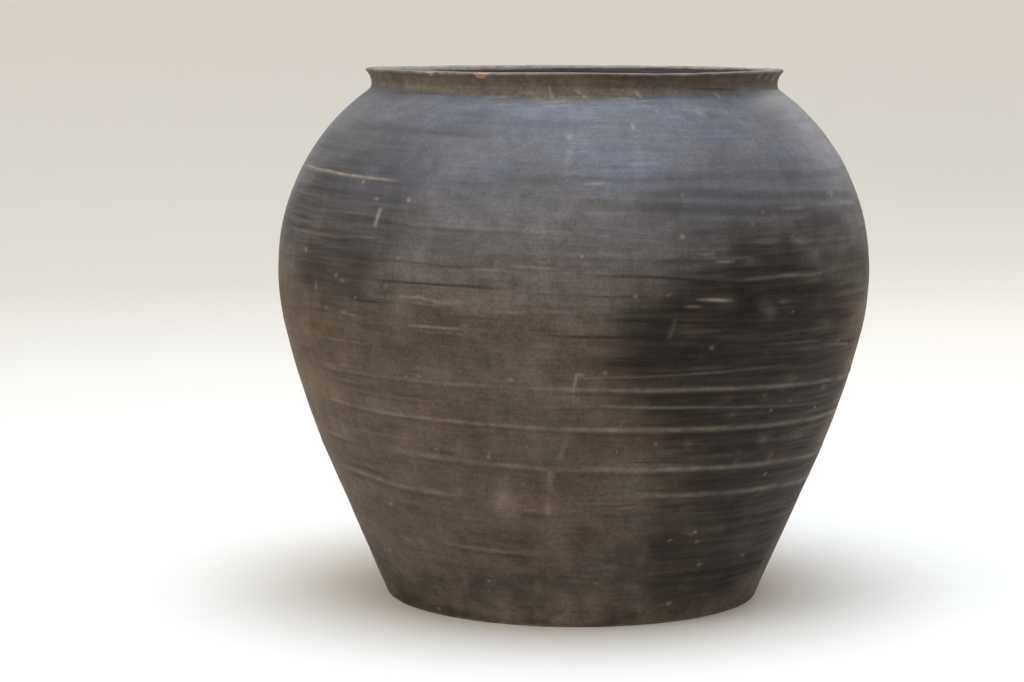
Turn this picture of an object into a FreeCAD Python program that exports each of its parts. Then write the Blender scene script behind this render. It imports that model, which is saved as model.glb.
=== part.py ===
import FreeCAD, Part
import math
import os

os.makedirs("parts", exist_ok=True)

# A hand-built storage jar: a base slab, rings of flattened coil and a neck strip, luted together with
# bevelled joints. The origin is the centre of the underside, with +Z up the axis. Millimetres, degrees.

# The outer face, from the foot up.
HEIGHT = 427.0
FOOT_RADIUS = 151.6
FOOT_SLOPE = 23.1        # the plain cone above the foot leans out by this much
HAUNCH_ARC = 216.0       # below the belly
HAUNCH_ANGLE = 13.8      # how far the haunch arc turns from the belly down
BELLY_RADIUS = 240.0
BELLY_HEIGHT = 267.0
SHOULDER_ARC = 176.0     # above the belly
THROAT_RADIUS = 164.0
THROAT_HEIGHT = 415.0
LIP_ARC = 14.0           # the flare from the throat out to the lip

# The clay.
WALL = 11.0
FLOOR = 14.0
FLOOR_COVE = 14.0
FOOT_EDGE = 2.0
LIP_OUTER_EDGE = 1.0
LIP_INNER_EDGE = 3.0

# The joints: heights on the outer face, and how far each bevel falls between the two faces.
JOINT_HEIGHTS = [27.0, 63.0, 108.0, 134.0, 162.0, 193.0, 235.0, 272.0, 309.0, 350.0, 384.0, 409.0]
JOINT_FALL = 7.0
OVERSHOOT = 3.0          # how far a joint's cutting line runs past each face

TOLERANCE = 0.01


def at(radius, height):
    return FreeCAD.Vector(radius, 0, height)


class Stretch:
    """One arc of the outer face. side is 1 where its centre is inside the clay wall, -1 where outside."""

    def __init__(self, centre, arc, side, low, high):
        self.centre = centre
        self.arc = arc
        self.side = side
        self.low = low
        self.high = high

    def radius(self, height, inset=0.0):
        arc = self.arc - self.side * inset
        return self.centre.x + self.side * math.sqrt(arc ** 2 - (height - self.centre.z) ** 2)

    def normal(self, height):
        """Out of the wall."""
        point = at(self.radius(height), height)
        return (point - self.centre).normalize() * self.side

    def edge(self, inset, low, high):
        """The part of this arc, moved into the wall by inset, between two heights."""
        points = [at(self.radius(z, inset), z) for z in (low, 0.5 * (low + high), high)]
        return Part.Arc(*points).toShape()

    def inset_height(self, height, inset):
        return height - self.normal(height).z * inset


def foot_normal():
    slope = math.radians(FOOT_SLOPE)
    return FreeCAD.Vector(math.cos(slope), 0, -math.sin(slope))


def flank_arc(joint, direction):
    """The radius of the arc that leaves joint along the haunch's normal and ends tangent to the foot cone."""
    cone = foot_normal()
    gap = (joint - at(FOOT_RADIUS, 0)).dot(cone)
    return gap / (direction.dot(cone) - 1.0)


def outer_stretches():
    shoulder_centre = at(BELLY_RADIUS - SHOULDER_ARC, BELLY_HEIGHT)
    haunch_centre = at(BELLY_RADIUS - HAUNCH_ARC, BELLY_HEIGHT)

    turn = math.radians(HAUNCH_ANGLE)
    down = FreeCAD.Vector(math.cos(turn), 0, -math.sin(turn))
    haunch_low = haunch_centre + down * HAUNCH_ARC
    flank_radius = flank_arc(haunch_low, down)
    flank_centre = haunch_low - down * flank_radius
    flank_low = flank_centre + foot_normal() * flank_radius

    rise = THROAT_HEIGHT - BELLY_HEIGHT
    reach = THROAT_RADIUS - shoulder_centre.x
    root_arc = (rise ** 2 + reach ** 2 - SHOULDER_ARC ** 2) / (2.0 * (SHOULDER_ARC - reach))
    root_centre = at(THROAT_RADIUS + root_arc, THROAT_HEIGHT)
    lean = (root_centre - shoulder_centre).normalize()
    neck_root = shoulder_centre + lean * SHOULDER_ARC
    lip_centre = at(THROAT_RADIUS + LIP_ARC, THROAT_HEIGHT)

    return [
        Stretch(flank_centre, flank_radius, 1, flank_low.z, haunch_low.z),
        Stretch(haunch_centre, HAUNCH_ARC, 1, haunch_low.z, BELLY_HEIGHT),
        Stretch(shoulder_centre, SHOULDER_ARC, 1, BELLY_HEIGHT, neck_root.z),
        Stretch(root_centre, root_arc, -1, neck_root.z, THROAT_HEIGHT),
        Stretch(lip_centre, LIP_ARC, -1, THROAT_HEIGHT, HEIGHT),
    ]


def face_edges(stretches, inset, bottom):
    """The outer face moved into the wall by inset, from the height bottom to the lip's top."""
    first = stretches[0]
    cone_top = first.inset_height(first.low, inset)
    cone_top_radius = first.radius(cone_top, inset)
    lean = math.tan(math.radians(FOOT_SLOPE))
    start = at(cone_top_radius - (cone_top - bottom) * lean, bottom)
    edges = [Part.makeLine(start, at(cone_top_radius, cone_top))]
    for stretch in stretches:
        low = stretch.inset_height(stretch.low, inset)
        high = stretch.inset_height(stretch.high, inset)
        if stretch.high == HEIGHT:
            high = HEIGHT
        edges.append(stretch.edge(inset, low, high))
    return edges


def clay_section(stretches):
    """Half of the jar's cross-section: slab, wall and lip in one face."""
    outer = face_edges(stretches, 0.0, 0.0)
    inner = face_edges(stretches, WALL, FLOOR)
    outer_foot = outer[0].Vertexes[0].Point
    inner_foot = inner[0].Vertexes[0].Point
    lip = [at(stretches[-1].radius(HEIGHT, inset), HEIGHT) for inset in (0.0, WALL)]
    closing = [
        Part.makeLine(*lip),
        Part.makeLine(inner_foot, at(0, FLOOR)),
        Part.makeLine(at(0, FLOOR), at(0, 0)),
        Part.makeLine(at(0, 0), outer_foot),
    ]
    wire = Part.Wire(Part.__sortEdges__(outer + inner + closing))
    return Part.Face(wire)


def joint_ends(stretches, height):
    """A bevelled joint's line across the wall, from outside to inside, falling towards the inside."""
    radius = None
    for stretch in stretches:
        if stretch.low <= height <= stretch.high:
            radius = stretch.radius(height)
            normal = stretch.normal(height)
    if radius is None:
        radius = FOOT_RADIUS + height * math.tan(math.radians(FOOT_SLOPE))
        normal = foot_normal()
    outside = at(radius, height)
    up_the_wall = FreeCAD.Vector(-normal.z, 0, normal.x)
    across = (normal * -WALL - up_the_wall * JOINT_FALL).normalize()
    length = math.hypot(WALL, JOINT_FALL)
    return outside - across * OVERSHOOT, outside + across * (length + OVERSHOOT)


def region_below(joint):
    """The half-plane below a joint's line, which runs on level from both its ends."""
    outside, inside = joint
    clear = BELLY_RADIUS + OVERSHOOT
    corners = [
        outside,
        inside,
        at(0, inside.z),
        at(0, -OVERSHOOT),
        at(clear, -OVERSHOOT),
        at(clear, outside.z),
    ]
    return Part.Face(Part.makePolygon(corners + corners[:1]))


def turned(section):
    solid = section.Faces[0].revolve(FreeCAD.Vector(0, 0, 0), FreeCAD.Vector(0, 0, 1), 360)
    return solid.Solids[0]


def rounded(solid, height, radius, size):
    """Round the circular edge at this height and radius."""
    def matches(edge):
        box = edge.BoundBox
        level = abs(box.ZMin - height) < TOLERANCE and abs(box.ZMax - height) < TOLERANCE
        return level and abs(box.XMax - radius) < TOLERANCE
    return solid.makeFillet(size, [edge for edge in solid.Edges if matches(edge)]).Solids[0]


def corner_radius(section, height):
    """The largest radius at which the section has a corner at this height."""
    return max(v.X for v in section.Vertexes if abs(v.Z - height) < TOLERANCE)


def base_slab(section):
    slab = turned(section)
    slab = rounded(slab, FLOOR, corner_radius(section, FLOOR), FLOOR_COVE)
    return rounded(slab, 0.0, FOOT_RADIUS, FOOT_EDGE)


def rim_collar(section, lip):
    collar = turned(section)
    outside, inside = [lip.radius(HEIGHT, inset) for inset in (0.0, WALL)]
    collar = rounded(collar, HEIGHT, outside, LIP_OUTER_EDGE)
    return rounded(collar, HEIGHT, inside, LIP_INNER_EDGE)


def save(solid, name):
    if not solid.isValid():
        raise ValueError(name + " is not a valid solid")
    solid.exportStep("parts/" + name + ".step")


def main():
    stretches = outer_stretches()
    rest = clay_section(stretches)
    sections = []
    for height in JOINT_HEIGHTS:
        region = region_below(joint_ends(stretches, height))
        sections.append(rest.common(region))
        rest = rest.cut(region)

    save(base_slab(sections[0]), "base_slab")
    for number, section in enumerate(sections[1:], start=1):
        save(turned(section), "wall_course_%02d" % number)
    save(rim_collar(rest, stretches[-1]), "rim_collar")


main()
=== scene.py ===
import math

import bpy
import numpy as np
from mathutils import Matrix, Vector


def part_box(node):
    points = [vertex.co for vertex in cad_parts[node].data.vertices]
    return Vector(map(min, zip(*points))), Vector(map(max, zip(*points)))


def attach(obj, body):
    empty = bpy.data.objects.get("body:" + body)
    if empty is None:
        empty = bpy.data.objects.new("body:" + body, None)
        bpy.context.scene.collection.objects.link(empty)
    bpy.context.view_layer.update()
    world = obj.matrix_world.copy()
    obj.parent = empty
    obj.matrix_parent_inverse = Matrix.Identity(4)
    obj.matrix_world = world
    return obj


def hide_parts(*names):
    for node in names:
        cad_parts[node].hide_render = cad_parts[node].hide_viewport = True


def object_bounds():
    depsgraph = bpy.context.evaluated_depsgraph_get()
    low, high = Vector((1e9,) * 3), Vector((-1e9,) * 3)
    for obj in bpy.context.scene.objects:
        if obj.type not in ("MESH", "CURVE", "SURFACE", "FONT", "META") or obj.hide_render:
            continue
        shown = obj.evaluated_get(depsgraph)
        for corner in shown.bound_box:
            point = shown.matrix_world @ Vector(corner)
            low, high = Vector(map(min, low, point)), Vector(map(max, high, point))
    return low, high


# A hand-built, smoke-blackened clay jar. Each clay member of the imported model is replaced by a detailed
# mesh of the same size. Metres, with azimuth 0 at the front (-Y) and growing to the right.

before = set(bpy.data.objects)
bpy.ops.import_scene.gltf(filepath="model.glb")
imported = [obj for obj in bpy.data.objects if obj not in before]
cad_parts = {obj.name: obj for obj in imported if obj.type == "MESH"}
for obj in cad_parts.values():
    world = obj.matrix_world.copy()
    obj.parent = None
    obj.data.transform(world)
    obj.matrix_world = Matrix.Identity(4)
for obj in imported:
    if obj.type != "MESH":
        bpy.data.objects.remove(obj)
cad_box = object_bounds()
MM = 0.001

# The jar's outer face: a cone, then tangent arcs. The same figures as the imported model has.
HEIGHT = cad_box[1].z
BELLY_RADIUS = cad_box[1].x
FOOT_RADIUS = 151.6 * MM
FOOT_SLOPE = math.radians(23.1)
HAUNCH_ARC = 216.0 * MM
HAUNCH_ANGLE = math.radians(13.8)
BELLY_HEIGHT = 267.0 * MM
SHOULDER_ARC = 176.0 * MM
THROAT_RADIUS = 164.0 * MM
THROAT_HEIGHT = 415.0 * MM
LIP_ARC = 14.0 * MM
WALL = 11.0 * MM
FLOOR = 14.0 * MM
FLOOR_COVE = 14.0 * MM
FOOT_EDGE = 2.0 * MM
LIP_OUTER_EDGE = 1.0 * MM
LIP_INNER_EDGE = 3.0 * MM

# The meshes.
COLUMNS = 1080
OUTER_STEP = 0.95 * MM
INNER_STEP = 4.0 * MM
RIM_INNER_STEP = 1.2 * MM
DISC_STEP = 9.0 * MM
EDGE_STEPS = 5

COURSES = sorted(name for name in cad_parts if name.startswith("wall_course_"))
NODES = ["base_slab"] + COURSES + ["rim_collar"]


# ---------------------------------------------------------------- the profile

class Stretch:
    """One arc of the outer face. side is 1 where its centre is inside the clay wall, -1 where outside."""

    def __init__(self, centre, arc, side, low):
        self.centre = centre
        self.arc = arc
        self.side = side
        self.low = low

    def radius(self, height, inset):
        arc = self.arc - self.side * inset
        square = np.maximum(arc ** 2 - (height - self.centre[1]) ** 2, 0.0)
        return self.centre[0] + self.side * np.sqrt(square)

    def lean(self, height, inset):
        """The vertical part of the outward normal."""
        return self.side * (height - self.centre[1]) / (self.arc - self.side * inset)


class Cone:
    low = -1.0

    def radius(self, height, inset):
        return FOOT_RADIUS - inset / math.cos(FOOT_SLOPE) + height * math.tan(FOOT_SLOPE)

    def lean(self, height, inset):
        return np.full_like(height, -math.sin(FOOT_SLOPE))


def wall_stretches():
    haunch = np.array([BELLY_RADIUS - HAUNCH_ARC, BELLY_HEIGHT])
    down = np.array([math.cos(HAUNCH_ANGLE), -math.sin(HAUNCH_ANGLE)])
    haunch_low = haunch + down * HAUNCH_ARC
    cone = np.array([math.cos(FOOT_SLOPE), -math.sin(FOOT_SLOPE)])
    flank_arc = (haunch_low - [FOOT_RADIUS, 0.0]).dot(cone) / (down.dot(cone) - 1.0)
    flank = haunch_low - down * flank_arc
    flank_low = flank + cone * flank_arc

    shoulder = np.array([BELLY_RADIUS - SHOULDER_ARC, BELLY_HEIGHT])
    rise = THROAT_HEIGHT - BELLY_HEIGHT
    reach = THROAT_RADIUS - shoulder[0]
    root_arc = (rise ** 2 + reach ** 2 - SHOULDER_ARC ** 2) / (2.0 * (SHOULDER_ARC - reach))
    root = np.array([THROAT_RADIUS + root_arc, THROAT_HEIGHT])
    towards = (root - shoulder) / np.linalg.norm(root - shoulder)
    neck_root = shoulder + towards * SHOULDER_ARC
    lip = np.array([THROAT_RADIUS + LIP_ARC, THROAT_HEIGHT])
    return [
        Cone(),
        Stretch(flank, flank_arc, 1, flank_low[1]),
        Stretch(haunch, HAUNCH_ARC, 1, haunch_low[1]),
        Stretch(shoulder, SHOULDER_ARC, 1, BELLY_HEIGHT),
        Stretch(root, root_arc, -1, neck_root[1]),
        Stretch(lip, LIP_ARC, -1, THROAT_HEIGHT),
    ]


STRETCHES = wall_stretches()


def face_point(height, inset=0.0):
    """Radius, and the outward normal's two parts, of a wall face at an array of its own heights."""
    height = np.asarray(height, float)
    radius = np.zeros_like(height)
    lean = np.zeros_like(height)
    for stretch in STRETCHES:
        start = stretch.low
        if inset and start > 0.0:
            start -= inset * float(stretch.lean(np.array(start), 0.0))
        here = height >= start
        radius = np.where(here, stretch.radius(height, inset), radius)
        lean = np.where(here, stretch.lean(height, inset), lean)
    return radius, np.sqrt(np.maximum(1.0 - lean ** 2, 0.0)), lean


def even_heights(low, high, step, inset=0.0):
    """Heights from low to high, evenly spaced along the face."""
    fine = np.linspace(low, high, 400)
    radius = face_point(fine, inset)[0]
    run = np.concatenate([[0.0], np.cumsum(np.hypot(np.diff(radius), np.diff(fine)))])
    count = max(2, int(round(run[-1] / step)) + 1)
    return np.interp(np.linspace(0.0, run[-1], count), run, fine)


# ---------------------------------------------------------------- relief and marks

DRIFT = 5.0 * MM         # level tool lines climb and fall by this much on their way round
LINE_WAVER = 0.3 * MM    # how far a single tool line strays from its course
LINE_TAPER = math.radians(10.0)
LAYERS = ("pale", "dark", "chip", "smoke_and_shade", "collar")

# How far the hand's unevenness moves the face.
WANDER_LIFT = 0.35 * MM
FACET_LIFT = 0.22 * MM
STREAK_LIFT = 0.05 * MM
HAIRLINE_LIFT = 0.02 * MM
GRIT_LIFT = 0.015 * MM
INSIDE_FINGER_LIFT = 0.45 * MM
INSIDE_WANDER_LIFT = 0.40 * MM
LIP_RISE = 0.40 * MM

# How far each kind of mark moves the face, and how strongly it tints the layers. A ridge's pale tint is a
# painted highlight on its top, and the ridge and fold shades are painted shade below ridges and folds.
RIDGE_LIFT = 0.45 * MM
RIDGE_HIGHLIGHT_TINT = 0.60
RIDGE_SHADE = 0.45
FOLD_LIFT = 0.50 * MM
FOLD_SHADE = 0.25
SHADE_DROP = 2.2         # a ridge's or fold's shade lies this many half-widths below it
CRACK_DEPTH = 0.40 * MM
SCRATCH_DEPTH = 0.20 * MM
RUB_AND_HIGHLIGHT_TINT = 0.62
CHIP_DEPTH = 0.25 * MM
LIP_CHIP_DEPTH = 1.3 * MM
LIP_CHIP_DROP = 0.5      # how far below the lip's top a chip's middle is, in millimetres
MARK_REACH = 3.5         # half-widths past which a mark no longer shows


def smooth(value):
    value = np.clip(value, 0.0, 1.0)
    return value * value * (3.0 - 2.0 * value)


class Field:
    """Smooth noise from -1 to 1 over azimuth and height: cells round the jar, cells of one pitch up it."""

    def __init__(self, seed, around, pitch):
        rows = int(HEIGHT / pitch) + 8
        self.grid = np.random.default_rng(seed).uniform(-1.0, 1.0, (rows, around))
        self.pitch = pitch

    def __call__(self, azimuth, height):
        rows, around = self.grid.shape
        across = np.mod(azimuth / math.tau, 1.0) * around
        up = np.clip(height / self.pitch + 3.0, 0.0, rows - 1.001)
        column = np.floor(across).astype(int)
        row = np.floor(up).astype(int)
        s = smooth(across - column)
        t = smooth(up - row)
        left = column % around
        right = (column + 1) % around
        low = self.grid[row, left] * (1.0 - s) + self.grid[row, right] * s
        high = self.grid[row + 1, left] * (1.0 - s) + self.grid[row + 1, right] * s
        return low * (1.0 - t) + high * t


WANDER = Field(1, 11, 60.0 * MM)
FACETS = Field(2, 16, 15.0 * MM)
STREAKS = Field(3, 46, 3.6 * MM)
HAIRLINES = Field(4, 70, 1.9 * MM)
WOBBLE = Field(5, 60, 40.0 * MM)
BREAKS = Field(6, 90, 9.0 * MM)
PATCHES = Field(7, 30, 22.0 * MM)
GRIT = Field(8, 420, 3.0 * MM)
LIP_WAVE = Field(9, 14, 200.0 * MM)
FINGERS = Field(10, 9, 9.0 * MM)


# Tool lines and cracks that run round the jar. Each is a list of (azimuth, height) in degrees and
# millimetres, then its half-width in millimetres and how strong it is.
RIDGES = [
    ([(-64, 200), (-30, 198), (6, 196)], 1.2, 0.45),
    ([(-8, 197), (30, 193.5), (72, 187), (124, 186)], 1.6, 1.0),
    ([(-4, 205), (20, 206), (45, 208)], 0.9, 0.6),
    ([(-2, 184.5), (30, 179), (64, 170)], 1.0, 0.7),
    ([(-64, 173.5), (-40, 169.5), (-20, 167.5), (8, 164)], 1.3, 0.75),
    ([(-8, 166), (30, 162), (68, 158), (96, 158)], 1.9, 0.95),
    ([(-69, 142.5), (-54, 141)], 1.4, 0.6),
    ([(-43, 139.5), (-20, 136), (6, 132)], 1.8, 0.6),
    ([(-2, 134), (30, 130.5), (70, 125), (138, 127)], 2.2, 0.95),
    ([(8, 137), (26, 134)], 1.0, 0.5),
    ([(-68, 116), (-54, 114), (-42, 109.5), (-22, 106)], 1.8, 0.7),
    ([(8, 112), (40, 107.5), (70, 103), (86, 102)], 2.2, 0.8),
    ([(-3, 105.5), (20, 104.5)], 1.0, 0.45),
    ([(-38, 66), (-20, 63), (-3, 61)], 1.2, 0.6),
    ([(-66, 204), (-54, 202), (-42, 203.5)], 1.3, 0.5),
    ([(-58, 192), (-42, 190)], 1.1, 0.5),
    ([(-60, 186), (-24, 182)], 0.9, 0.3),
    ([(-58, 152), (-30, 150)], 0.9, 0.3),
    ([(-38, 317), (-20, 314.5), (7, 311)], 1.0, 0.5),
    ([(-80, 311), (-55, 310.5)], 1.0, 0.6),
    ([(-76, 304), (-50, 302.5), (-33, 305)], 1.2, 0.5),
    ([(-44, 262), (-34, 259), (-20, 256)], 1.1, 0.55),
    ([(-10, 257), (4, 253)], 1.0, 0.3),
    ([(20, 293.5), (38, 292)], 1.3, 0.6),
    ([(27, 275.5), (42, 276.5), (58, 275)], 1.5, 0.8),
    ([(52, 221), (62, 217.5), (72, 213)], 1.0, 0.8),
    ([(36, 225.5), (57, 222.5)], 0.9, 0.5),
    ([(-62, 223.5), (-36, 223)], 0.9, 0.35),
]
FOLDS = [
    ([(8, 342), (25, 343.5), (50, 338), (80, 332)], 2.6, 0.7),
    ([(-6, 338), (15, 334.5), (30, 331), (50, 327.5), (80, 321)], 2.8, 1.0),
    ([(-30, 350.5), (4, 354), (30, 355), (78, 351)], 2.6, 0.5),
]
CRACKS = [
    ([(0, 282), (14, 280), (27, 275), (42, 272)], 1.2, 0.9),
    ([(-43, 274), (-36, 272.5), (-20, 272), (-9, 270.5)], 1.0, 1.0),
    ([(-47, 257.5), (-33, 255)], 1.0, 1.0),
    ([(2, 250), (16, 247), (32, 243.5), (54, 238.5)], 1.3, 1.0),
    ([(8, 251), (24, 246)], 2.4, 0.45),
    ([(-8, 237), (12, 236), (22, 233), (32, 228.5), (44, 225), (66, 218), (82, 216)], 1.2, 1.0),
    ([(8, 235), (26, 229)], 2.2, 0.6),
    ([(2, 231), (16, 227.5)], 1.6, 0.45),
    ([(-40, 289), (-26, 286.5), (-13, 284)], 0.9, 0.6),
    ([(-52, 321), (-44, 318), (-27, 313)], 1.0, 0.5),
    ([(-74, 314.5), (-58, 313)], 1.0, 0.6),
    ([(-66, 308.5), (-58, 308)], 0.9, 0.5),
    ([(-2, 266.5), (16, 265.5)], 1.0, 0.6),
    ([(10, 262), (24, 259), (40, 257)], 1.0, 0.6),
    ([(24, 299), (40, 296), (57, 298)], 1.0, 0.5),
    ([(28, 222), (48, 216)], 1.8, 0.65),
    ([(4, 216), (22, 217)], 1.4, 0.6),
    ([(24, 190), (40, 187.5)], 1.5, 0.8),
    ([(38, 185.5), (58, 179)], 1.2, 0.7),
    ([(25, 204), (46, 201)], 2.0, 0.45),
    ([(44, 208.5), (54, 206)], 1.0, 0.6),
    ([(18, 171), (36, 170)], 1.8, 0.4),
    ([(26, 143.5), (48, 139.5)], 1.5, 0.8),
    ([(10, 138.5), (28, 136)], 1.0, 0.55),
    ([(10, 127), (42, 124)], 1.5, 0.75),
    ([(42, 124), (56, 119)], 1.4, 0.7),
    ([(22, 121), (42, 118.5)], 2.4, 0.6),
    ([(28, 113), (50, 109)], 1.5, 0.7),
    ([(20, 104), (46, 101)], 2.0, 0.7),
    ([(-66, 139), (-48, 138)], 1.1, 0.5),
    ([(-68, 121), (-52, 119), (-40, 112.5)], 2.2, 0.5),
    ([(-60, 127), (-44, 125)], 1.0, 0.5),
    ([(-34, 143), (-22, 141)], 1.2, 0.45),
    ([(-30, 106), (-18, 103)], 2.0, 0.25),
    ([(-66, 244), (-46, 245)], 1.8, 0.45),
    ([(-48, 239), (-30, 233)], 2.4, 0.35),
    ([(-64, 386), (-40, 383), (-14, 380)], 2.8, 0.34),
    ([(-30, 391), (-12, 390), (8, 388)], 2.4, 0.18),
    ([(45, 389), (80, 387)], 1.8, 0.25),
    ([(-40, 398), (-12, 395)], 1.8, 0.18),
    ([(-8, 391), (22, 389)], 1.6, 0.18),
    ([(27, 416), (40, 414.5), (56, 414)], 1.1, 0.7),
    ([(-56, 413.5), (-45, 411), (-30, 409.5)], 0.9, 0.4),
]
SCRATCHES = [
    ([(-82, 352), (-58, 349.5), (-34, 346)], 0.9, 1.0),
    ([(1, 347.5), (8, 348.5)], 0.8, 0.9),
    ([(21.5, 263), (26, 262), (31, 260.5)], 1.2, 1.0),
    ([(19.5, 258), (24, 257)], 0.9, 0.45),
    ([(25, 290), (31, 290)], 1.1, 0.45),
    ([(21, 296), (27, 296)], 0.9, 0.4),
    ([(41, 326), (51, 326.5)], 1.0, 0.45),
    ([(-13, 288.5), (-1, 286)], 0.8, 0.5),
    ([(-21, 285), (-10, 284.5)], 0.8, 0.4),
    ([(-37, 261), (-28, 262), (-24, 259), (-17, 260.5)], 1.3, 0.55),
    ([(-34, 240.5), (-17, 240)], 1.0, 0.6),
    ([(-49, 246), (-41, 243)], 0.9, 0.45),
    ([(-16, 254), (-7, 254)], 0.9, 0.4),
    ([(7, 405.5), (15, 406), (24, 407)], 0.7, 0.55),
    ([(12, 403), (21, 402.5)], 0.6, 0.4),
    ([(-16, 412.5), (-9, 411.5)], 0.9, 0.75),
    ([(-25, 408.5), (-16, 409.5)], 0.8, 0.55),
    ([(-22, 403), (-13, 404)], 0.7, 0.45),
    ([(-9, 402), (1, 404)], 0.7, 0.5),
    ([(-10, 405.5), (-1, 406)], 0.6, 0.45),
    ([(10, 409), (17, 408.5)], 0.7, 0.45),
]
# Lines that run up the jar, with their half-width, how strong they are, and how ragged.
DRIPS = [
    ([(0.0, 193), (1.0, 210)], 1.0, 0.8, 0.2),
    ([(-5.5, 72), (-5.2, 100), (-4.4, 134)], 2.4, 0.42, 0.9),
    ([(-2.6, 140), (-0.6, 162)], 2.0, 0.32, 0.9),
    ([(-1.5, 352), (-0.5, 398)], 1.8, 0.28, 0.9),
    ([(-39.6, 311), (-38.9, 327)], 1.7, 1.0, 0.5),
    ([(17.2, 233), (18.6, 250)], 1.4, 0.26, 0.9),
    ([(-17.4, 138), (-16.8, 147)], 1.1, 0.6, 0.3),
    ([(60.0, 420), (61.0, 430)], 2.8, 0.75, 0.5),
    ([(65.5, 419), (67.5, 430)], 2.4, 0.9, 0.5),
    ([(71.0, 417), (74.0, 430)], 2.8, 0.9, 0.5),
    ([(17.8, 408), (16.0, 415)], 1.4, 1.6, 0.1),
    ([(3.4, 408), (0.4, 415)], 1.5, 1.1, 0.1),
    ([(-5.4, 407), (-6.8, 418)], 1.3, 0.9, 0.1),
    ([(20.5, 397), (19.8, 401)], 0.8, 0.6, 0.2),
    ([(41.4, 407), (40.6, 413)], 1.5, 1.2, 0.1),
    ([(13.4, 406), (13.0, 411)], 1.2, 0.8, 0.1),
]
# Soft pale rubs, one painted highlight, and chips: azimuth, height, half-width round the jar, half-height,
# strength.
RUBS_AND_HIGHLIGHT = [
    (-15, 106, 9, 17, 0.62),
    (-26, 108, 8, 7, 0.3),
    (31.5, 398.5, 4, 4, 0.9),
    (28, 402, 6, 2.5, 0.35),
    # A painted highlight: the gloss on the right shoulder.
    (68, 404, 20, 4, 0.55),
    (-62, 421, 7, 3, 0.6),
    (-52, 419, 4, 4, 0.6),
    (-66, 414, 8, 3, 0.35),
    (46.5, 302, 8, 3.5, 0.8),
    (38, 303, 10, 2.5, 0.5),
    (54, 300, 10, 2, 0.5),
    (62, 300, 12, 1.6, 0.5),
    (49, 271.5, 14, 2.2, 0.5),
    (34, 289, 9, 3, 0.35),
    (50, 290, 9, 4, 0.4),
    (41.3, 257.5, 5, 1.8, 0.7),
    (38, 250, 7, 6, 0.45),
    (60, 184, 4, 3, 0.55),
    (55, 148, 10, 5, 0.35),
    (43, 149, 6, 4, 0.45),
    (24, 151, 4, 4, 0.4),
    (40.3, 184, 3, 3, 0.45),
    (14, 111, 5, 8, 0.35),
    (37, 133, 3, 2, 0.6),
    (47, 134, 5, 4, 0.35),
    (5, 22, 12, 7, 0.35),
    (30, 76, 4, 3, 0.4),
    (-9, 33, 3, 5, 0.45),
    (-32, 161, 3, 3, 0.45),
    (-5, 300, 60, 24, 0.1),
    (-40, 270, 9, 6, 0.3),
    (-40, 60, 24, 12, 0.18),
    (30, 82, 20, 15, 0.18),
    (49, 64, 14, 8, 0.26),
    (18, 62, 4, 13, 0.28),
    (-20, 45, 20, 8, 0.16),
    (-42, 415, 90, 5, 0.3),
    (-20, 14, 20, 14, 0.6),
    (2, 331, 60, 12, 0.28),
    (-5, 82, 11, 18, 0.34),
    (-35, 120, 26, 12, 0.16),
]
CHIPS = [
    (-1.0, 381.0, 2.4, 2.4, 0.7),
    (20.0, 309.0, 2.0, 1.6, 1.0),
    (1.6, 295.5, 1.3, 1.3, 1.0),
    (35.0, 317.0, 1.8, 1.4, 0.6),
    (61.5, 333.5, 2.6, 2.0, 0.6),
    (21.0, 339.0, 1.4, 1.2, 0.45),
    (-46.0, 344.5, 1.6, 1.2, 0.8),
    (-40.7, 332.5, 2.4, 1.1, 0.7),
    (-32.8, 333.0, 1.6, 1.4, 0.9),
    (-60.0, 289.5, 2.2, 1.6, 0.6),
    (-55.5, 263.0, 1.6, 4.0, 0.5),
    (-48.7, 273.5, 1.4, 1.3, 0.8),
    (-30.0, 201.5, 1.6, 1.2, 0.7),
    (-33.0, 200.0, 1.3, 1.2, 0.6),
    (6.0, 209.0, 1.3, 1.2, 0.6),
    (31.0, 77.0, 1.8, 1.3, 0.9),
    (28.5, 17.0, 2.0, 1.3, 0.8),
    (-42.5, 5.5, 1.8, 1.2, 0.8),
    (-5.0, 5.0, 1.6, 1.0, 0.5),
    (17.0, 152.0, 1.3, 1.2, 0.8),
    (59.0, 168.0, 1.6, 1.3, 0.8),
    (13.3, 388.0, 1.3, 2.4, 0.8),
]
# The edge between the brown collar and the grey shoulder, all the way round.
COLLAR_EDGE = [
    (-180, 410), (-130, 407), (-90, 412), (-50, 413), (-30, 410), (-15, 408),
    (0, 405.5), (12, 409), (35, 412), (60, 414), (100, 408), (140, 411), (180, 410),
]
COLLAR_TURN = ([math.radians(a) for a, level in COLLAR_EDGE], [level * MM for a, level in COLLAR_EDGE])
COLLAR_FADE = 8.0 * MM
# Where the lip is chipped to the orange core: azimuth, half-width and depth in millimetres.
LIP_CHIPS = [(-41.0, 4.2, 3.8), (-25.0, 6.5, 4.6), (118.0, 4.0, 3.0), (196.0, 3.0, 2.5), (247.0, 5.0, 3.0)]
# Smoke clouds: azimuth, height, half-width round the jar in degrees, half-height, strength.
CLOUDS = [
    (38, 212, 34, 105, 1.0),
    (47, 95, 34, 95, 0.9),
    (56, 168, 20, 50, 0.95),
    (55, 306, 14, 16, 0.5),
    (68, 270, 14, 26, 0.6),
    (-50, 1, 30, 12, 0.45),
    (36, 340, 30, 26, 0.25),
    (-53, 318, 24, 58, 0.56),
    (-51, 284, 15, 40, 0.74),
    (-50, 235, 30, 60, 0.26),
    (-40, 120, 60, 120, 0.08),
    (10, 159, 11, 20, 0.36),
    (27, 309, 11, 14, 0.45),
    (9, 20, 10, 22, 0.26),
    (-54, 362, 26, 28, 0.28),
    (150, 150, 42, 110, 0.75),
    (215, 300, 36, 60, 0.6),
    (262, 110, 30, 60, 0.45),
]


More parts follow.
